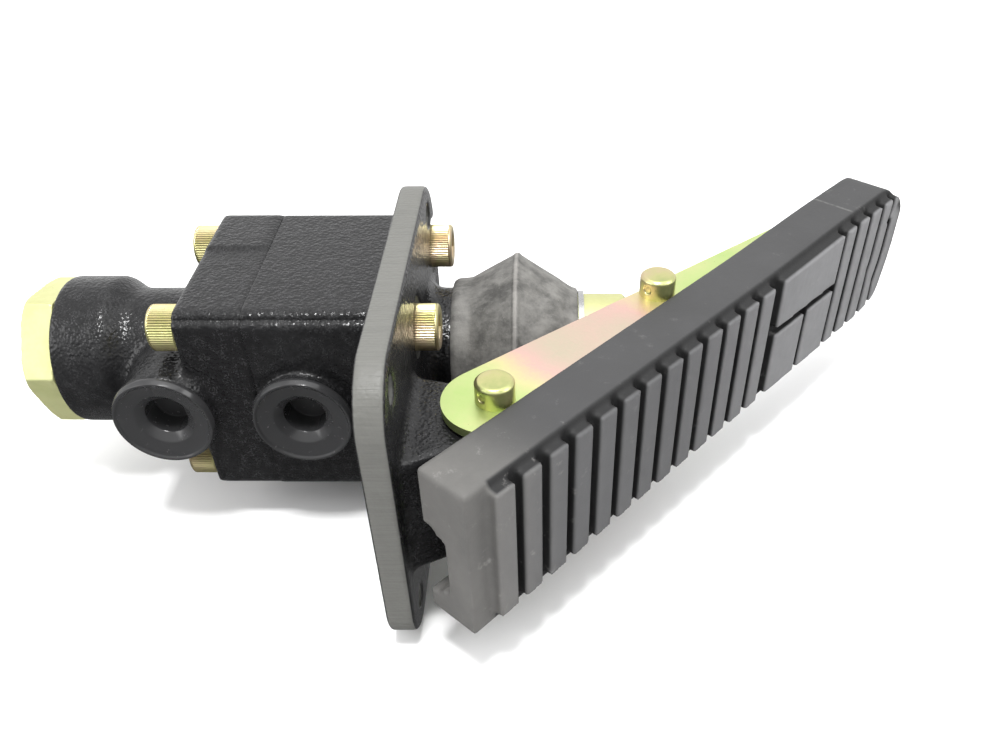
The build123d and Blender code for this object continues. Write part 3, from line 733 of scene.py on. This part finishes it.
class BuildPlunger(bpy.types.Operator):
    """Turn the plunger and its boot"""
    bl_idname = "brake_valve.plunger"
    bl_label = "Plunger and boot"

    def execute(self, context):
        made = context.scene.brake_valve_hardware
        rubber = boot_rubber(tuple(context.scene.brake_valve_rubber.boot_colour))
        where = place((0, 0, 0), (1, 0, 0))
        wall = np.array([(18.5, 23.05), (18.5, 25.4), (20.1, 26.4), (23, 26.6), (25.5, 26.9),
                         (28.2, 28.4), (33, 31.0), (38, 33.6), (40.7, 35.0), (41.3, 35.6),
                         (42.2, 35.9), (43.1, 35.6), (43.8, 34.8), (50, 30.9), (57, 26.7),
                         (61.5, 23.6), (64.0, 22.6), (64.5, 22.2), (64.5, 20.85), (62.1, 20.85),
                         (60, 22.2), (43.0, 32.6), (41.6, 32.6), (30, 26.6), (26.5, 25.2),
                         (25.5, 23.05)]) * MM
        wall = soften_loop(wall, 0.8 * MM, 4)
        boot = turned_piece("bellows_boot", wall, 128, where, rubber, closed=True)
        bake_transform(boot)
        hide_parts("plunger_boot")
        pale = zinc("pale_plunger_zinc", PALE, 0.34, 30.0, 0.7)
        profile = np.array([(22, 0), (22, 12.1), (-1.5, 12.1), (-1.5, 15), (62, 15), (62, 20.2),
                            (62.4, 20.5), (81.5, 20.5), (83.0, 19), (83.0, 0)]) * MM
        profile = soften(profile, made.edge, 4)
        piece = turned_piece("turned_plunger", profile, 96, where, pale)
        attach(piece, "plunger")
        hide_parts("plunger")
        return {"FINISHED"}


class BuildPedal(bpy.types.Operator):
    """Finish the pedal's rubber pad, bracket and pins"""
    bl_idname = "brake_valve.pedal"
    bl_label = "Pedal"

    def execute(self, context):
        made = context.scene.brake_valve_rubber
        rubber = pad_rubber(tuple(made.pad_colour))
        pad = soft_copy("pedal_pad", "ribbed_pad", rubber, made.cell, 2, 0.0, heel_notch, round_toe)
        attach(pad, "pedal")
        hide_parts("pedal_pad")
        plate = zinc("bracket_zinc", BRACKET, 0.24, 24.0, middle=(0.002, 0.034, 0.058, 0.098))
        paint_node("pedal_bracket", plate)
        gold = zinc("pin_zinc", GOLD, 0.2, 40.0)
        for node in ("hinge_pin", "roller_pin"):
            pin = soft_copy(node, "smooth_" + node, gold, 0.4 * MM, 1)
            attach(pin, "pedal")
            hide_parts(node)
        profile = np.array([(-5.95, 0), (-5.75, 0.9), (-5.75, 1.15), (-5.95, 1.45), (5.95, 1.45),
                            (5.75, 1.15), (5.75, 0.9), (5.95, 0)]) * MM
        profile = soften(profile, 0.1 * MM, 3)
        for node, along in (("hinge_roll_pins", 0.0), ("roller_roll_pins", ROLLER_PIN_ALONG)):
            ends = []
            for z in (-31.25 * MM, 31.25 * MM):
                where = place(HINGE + ALONG_PEDAL * along + UP * z, ALONG_PEDAL)
                ends.append(turned_piece("drawn_" + node, profile, 32, where, gold))
            rolls = joined("drawn_" + node, ends)
            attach(rolls, "pedal")
            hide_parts(node)
        return {"FINISHED"}


class BuildInnerParts(bpy.types.Operator):
    """Finish the spool, springs, seals, bushes and roller inside"""
    bl_idname = "brake_valve.inner_parts"
    bl_label = "Inner parts"

    def execute(self, context):
        bright = steel("ground_steel", (0.55, 0.55, 0.55), 0.2)
        dark = steel("spring_steel", (0.30, 0.30, 0.31), 0.3)
        bronze = steel("bush_bronze", (0.60, 0.40, 0.18), 0.3)
        black = dull_rubber("seal_rubber", (0.02, 0.02, 0.02))
        for node, body, joint, anchor, keep in (
                ("outer_regulating_spring", "plunger", "plunger_slide", 0.0220, 0.75),
                ("inner_regulating_spring", "plunger", "plunger_slide", 0.0220, 0.75),
                ("spool_return_spring", "valve", "spool_slide", -0.1295, 0.66)):
            coil = merged(add_object("wound_" + node, frame["nodes"][node].data.copy(), dark))
            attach(coil, body)
            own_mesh(coil)
            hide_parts(node)
        finishes = {"plain_steel": bright, "spring_steel": dark, "bronze": bronze,
                    "seal_rubber": black}
        for row in frame["record"]["subparts"]:
            if row["material_slot"] in finishes:
                paint_node(row["node"], finishes[row["material_slot"]])
        return {"FINISHED"}


class BuildStage(bpy.types.Operator):
    """Set the camera, the floor and the soft lights"""
    bl_idname = "brake_valve.stage"
    bl_label = "Stage"

    def execute(self, context):
        made = context.scene.brake_valve_stage
        self.camera(context, made)
        self.floor(context, made)
        self.lights(context)
        return {"FINISHED"}

    def camera(self, context, made):
        """Stands the camera with its roll, pitch and yaw, in that order, and shifts its frame."""
        lens = bpy.data.cameras.new("camera")
        lens.sensor_width = 36.0
        lens.lens = made.lens
        lens.shift_x = -0.0331
        lens.shift_y = 0.0850
        camera = bpy.data.objects.new("camera", lens)
        context.scene.collection.objects.link(camera)
        ahead = Vector((-math.sin(made.yaw) * math.cos(made.pitch),
                        math.cos(made.yaw) * math.cos(made.pitch), -math.sin(made.pitch)))
        right = Vector((math.cos(made.yaw), math.sin(made.yaw), 0.0))
        up = right.cross(ahead)
        turned_right = math.cos(made.roll) * right + math.sin(made.roll) * up
        turned_up = -math.sin(made.roll) * right + math.cos(made.roll) * up
        axes = Matrix((turned_right, turned_up, -ahead)).transposed().to_4x4()
        camera.matrix_world = Matrix.Translation(Vector(made.camera_place)) @ axes
        context.scene.camera = camera

    def floor(self, context, made):
        """A flat sheet 8 m wide. Past 2 m behind the object it curves up by 0.8 times the
        distance squared."""
        across = np.linspace(-4.0, 4.0, 25)
        run = np.linspace(-3.0, 3.2, 60)
        grid_x, grid_y = np.meshgrid(across, run)
        rise = np.clip(grid_y - 2.0, 0, 1.2) ** 2 * 0.8
        points = np.stack([grid_x, grid_y, made.floor_level + rise], axis=-1).reshape(-1, 3)
        row = np.arange(len(run) - 1)[:, None] * len(across)
        column = np.arange(len(across) - 1)[None, :]
        a = row + column
        faces = np.stack([a, a + 1, a + 1 + len(across), a + len(across)], axis=-1).reshape(-1, 4)
        floor = add_piece("floor", points, faces.tolist(), floor_paper())
        floor.visible_glossy = False

    def lights(self, context):
        """A soft panel above and at each side, a small hard one for the paint's sparkle, and a
        sky that is white above and behind the object and dark on the camera's side."""
        for name, spot, size, power in (("top_panel", (0.1, 0.15, 1.2), 1.2, 5.0),
                                        ("left_panel", (-1.0, -0.4, 0.7), 0.6, 4.0),
                                        ("right_panel", (1.0, -0.2, 0.8), 0.6, 4.0),
                                        ("key_panel", (0.0, -0.36, 1.1), 0.16, 11.0)):
            light = bpy.data.lights.new(name, "AREA")
            light.shape = "SQUARE"
            light.size = size
            light.energy = power
            lamp = bpy.data.objects.new(name, light)
            lamp.location = spot
            toward = Vector((0.03, -0.02, 0.0)) - Vector(spot)
            lamp.rotation_euler = toward.to_track_quat("-Z", "Y").to_euler()
            context.scene.collection.objects.link(lamp)
        sky = bpy.data.worlds.new("sky")
        sky.use_nodes = True
        nodes, links = sky.node_tree.nodes, sky.node_tree.links
        direction = nodes.new("ShaderNodeTexCoord")
        rise = nodes.new("ShaderNodeVectorMath")
        rise.operation = "DOT_PRODUCT"
        rise.inputs[1].default_value = (0.0, 0.45, 1.0)
        strength = nodes.new("ShaderNodeMapRange")
        strength.interpolation_type = "SMOOTHSTEP"
        for socket, value in (("From Min", -0.35), ("From Max", 0.35), ("To Min", 0.16),
                              ("To Max", 1.1)):
            strength.inputs[socket].default_value = value
        links.new(direction.outputs["Generated"], rise.inputs[0])
        links.new(rise.outputs["Value"], strength.inputs["Value"])
        links.new(strength.outputs["Result"], nodes["Background"].inputs["Strength"])
        nodes["Background"].inputs["Color"].default_value = (1.0, 1.0, 1.0, 1.0)
        context.scene.world = sky
        context.scene.view_settings.view_transform = "Standard"


OPERATORS = (BuildStage, BuildCastings, BuildScrews, BuildPlugs, BuildPlunger, BuildPedal,
             BuildInnerParts)
SETTINGS = {"castings": CastingSettings, "hardware": HardwareSettings, "rubber": RubberSettings,
            "stage": StageSettings}


class BrakeValvePanel(bpy.types.Panel):
    """Lists the steps that build the valve"""
    bl_idname = "VIEW3D_PT_brake_valve"
    bl_label = "Brake valve"
    bl_space_type = "VIEW_3D"
    bl_region_type = "UI"
    bl_category = "Brake valve"

    def draw(self, context):
        for name in SETTINGS:
            box = self.layout.box()
            group = getattr(context.scene, "brake_valve_" + name)
            for key in group.bl_rna.properties.keys():
                if key not in {"rna_type", "name"}:
                    box.prop(group, key)
        for operator in OPERATORS:
            self.layout.operator(operator.bl_idname)


def register():
    for group in SETTINGS.values():
        bpy.utils.register_class(group)
    for name, group in SETTINGS.items():
        setattr(bpy.types.Scene, "brake_valve_" + name, PointerProperty(type=group))
    for operator in OPERATORS:
        bpy.utils.register_class(operator)
    bpy.utils.register_class(BrakeValvePanel)


def unregister():
    bpy.utils.unregister_class(BrakeValvePanel)
    for operator in reversed(OPERATORS):
        bpy.utils.unregister_class(operator)
    for name, group in SETTINGS.items():
        delattr(bpy.types.Scene, "brake_valve_" + name)
        bpy.utils.unregister_class(group)


def main():
    """Builds everything in order."""
    register()
    for operator in OPERATORS:
        group, name = operator.bl_idname.split(".")
        getattr(getattr(bpy.ops, group), name)()


if __name__ == "__main__":
    main()
